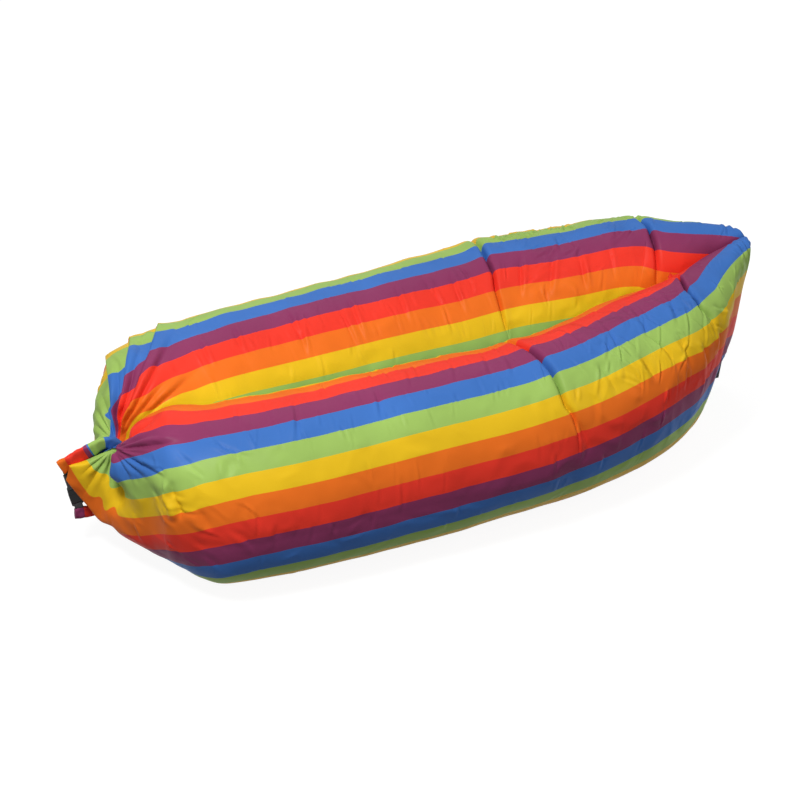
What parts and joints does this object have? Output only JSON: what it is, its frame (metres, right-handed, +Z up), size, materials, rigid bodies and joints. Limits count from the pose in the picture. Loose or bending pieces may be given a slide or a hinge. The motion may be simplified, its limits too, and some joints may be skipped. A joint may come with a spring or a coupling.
{
  "type": "inflatable air lounger",
  "caption": "Inflatable lounger of striped fabric air tubes joined along the middle, pinched shut at the bow and closed by a rolled, buckled mouth.",
  "frame": {"origin": "on the floor, under the middle of the bounding box", "axes": "+X from the rolled mouth toward the bow, +Y from the near tube toward the far tube, +Z up"},
  "size_m": [2.0374, 0.9366, 0.5198],
  "materials": {
    "striped_taffeta": "satin, rainbow stripes",
    "bag_film": "translucent film",
    "black_binding": "matte tape",
    "black_webbing": "woven",
    "black_acetal": "moulded, slightly glossy",
    "stiffener_plastic": "plain"
  },
  "bodies": {
    "lounger": {"near_cover": "striped_taffeta", "far_cover": "striped_taffeta", "near_air_bag": "bag_film", "far_air_bag": "bag_film", "centre_seam_tape": "black_binding", "bow_seam_tape": "black_binding", "mouth_roll": "striped_taffeta", "upper_stiffener": "stiffener_plastic", "lower_stiffener": "stiffener_plastic", "lower_webbing": "black_webbing", "buckle_socket": "black_acetal", "upper_webbing": "black_webbing"},
    "plug": {"buckle_plug": "black_acetal"},
    "left_prong_body": {"left_prong": "black_acetal"},
    "right_prong_body": {"right_prong": "black_acetal"}
  },
  "joints": [
    {"name": "plug_pull", "type": "slide", "parent": "lounger", "child": "plug", "axis": [-0.1574, 0, 0.9875], "range_m": [0, 0.03], "deforming": ["upper_webbing", "left_prong", "right_prong"]},
    {"name": "left_prong_squeeze", "type": "hinge", "parent": "plug", "child": "left_prong_body", "pos_m": [-0.99471, 0, 0.19165], "axis": [0, -1, 0], "range_deg": [0, 9], "stiffness_Nm_per_rad": 0.3},
    {"name": "right_prong_squeeze", "type": "hinge", "parent": "plug", "child": "right_prong_body", "pos_m": [-0.97436, 0, 0.1949], "axis": [0, 1, 0], "range_deg": [0, 9], "stiffness_Nm_per_rad": 0.3}
  ]
}
